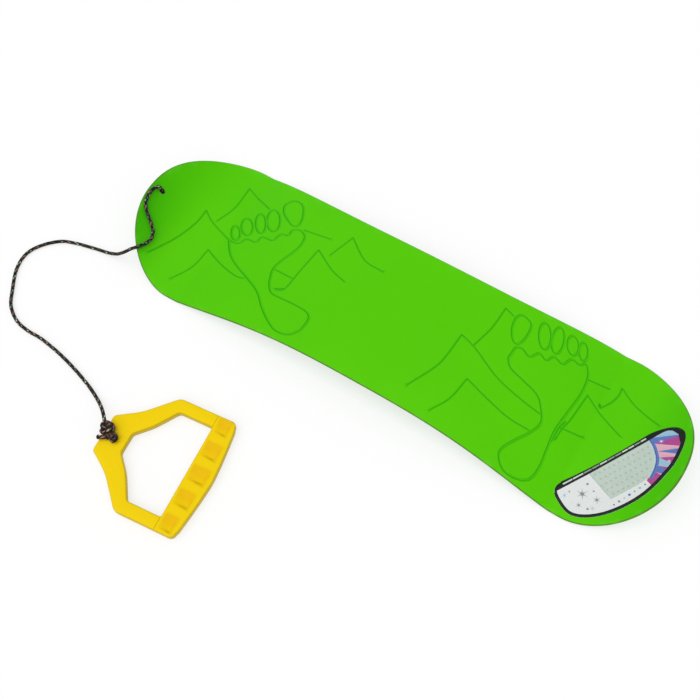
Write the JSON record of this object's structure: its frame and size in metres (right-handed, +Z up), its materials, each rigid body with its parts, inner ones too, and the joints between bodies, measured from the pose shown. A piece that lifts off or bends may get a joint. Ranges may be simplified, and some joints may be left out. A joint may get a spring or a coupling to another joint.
{
  "type": "children's plastic snowboard",
  "caption": "Thin moulded plastic board with an arched middle and lifted round tips, a rope leash knotted through the nose and a flat pull handle with a hand opening.",
  "frame": {"origin": "middle of the footprint of deck and handle, on the floor that the deck's two flat lands and the handle rest on", "axes": "+X along the deck from nose to tail, +Y from the handle's side across the deck, +Z up"},
  "size_m": [0.7933, 0.4546, 0.0461],
  "materials": {
    "deck_plastic": "semi-gloss moulded green with engraved lines",
    "label_print": "printed film sticker, satin, mostly pale with a dark rim",
    "handle_plastic": "semi-gloss moulded yellow",
    "rope": "matte braided cord, near black with coloured flecks"
  },
  "bodies": {
    "board": {"deck": "deck_plastic", "label": "label_print", "nose_knot": "rope", "rope_run": "rope"},
    "rope_end": {"rope_lead": "rope"},
    "handle": {"handle": "handle_plastic", "handle_knot": "rope", "rope_loop": "rope", "rope_tail": "rope"}
  },
  "joints": [
    {"name": "handle_turn", "type": "hinge", "parent": "board", "child": "rope_end", "pos_m": [-0.244, -0.13434, 0.003], "axis": [0, 0, 1], "range_deg": [-45, 40], "deforming": ["rope_lead"]},
    {"name": "handle_lift", "type": "hinge", "parent": "rope_end", "child": "handle", "pos_m": [-0.214, -0.15354, 0.0144], "axis": [0.1132, -0.9936, 0], "range_deg": [0, 60], "deforming": ["rope_lead"]}
  ]
}
